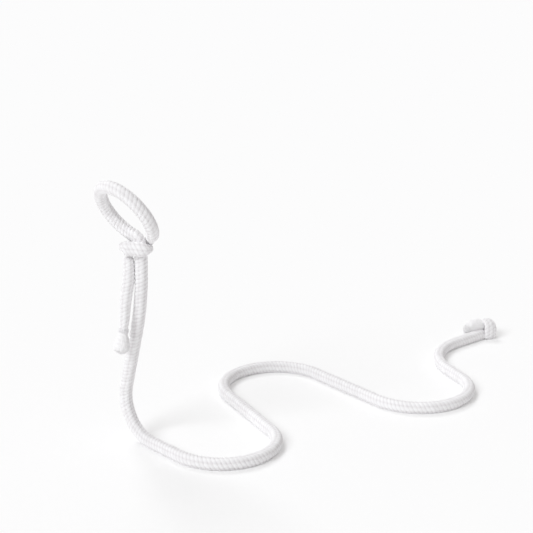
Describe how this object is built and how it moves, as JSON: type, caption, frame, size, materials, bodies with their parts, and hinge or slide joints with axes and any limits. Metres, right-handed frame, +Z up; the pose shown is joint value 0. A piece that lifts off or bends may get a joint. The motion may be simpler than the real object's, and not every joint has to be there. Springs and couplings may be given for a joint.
{
  "type": "bottle carrier",
  "caption": "Free-standing bottle carrier: a bent steel rod hidden in white braided rope forms a winding base, a riser and a noose for the neck, with a knotted, loose tail",
  "frame": {"origin": "on the table, under the foot of the riser, where the base's first straight run begins", "axes": "+X along the base from the riser towards the end knot, +Y away from the viewer of the picture, +Z up"},
  "size_m": [0.345, 0.1471, 0.1772],
  "materials": {
    "white_braid": "braided, matt",
    "loose_yarn": "combed out, matt",
    "binding_thread": "waxed thread",
    "rod_steel": "drawn wire",
    "tip_cap": "dipped, satin"
  },
  "bodies": {
    "stand": {"core_rod": "rod_steel", "base_rod_cap": "tip_cap", "noose_rod_cap": "tip_cap", "base_cover": "white_braid", "riser_cover": "white_braid", "noose_cover": "white_braid", "knot_turn": "white_braid", "tail_root": "white_braid", "end_knot": "white_braid", "end_tip": "loose_yarn"},
    "loose_tail": {"tail": "white_braid", "tail_binding": "binding_thread", "tail_tip": "loose_yarn"}
  },
  "joints": [
    {"name": "tail_swing", "type": "hinge", "parent": "stand", "child": "loose_tail", "pos_m": [-0.0055, 0.01105, 0.12277], "axis": [0.6947, 0.7193, 0], "range_deg": [0, 60]}
  ]
}
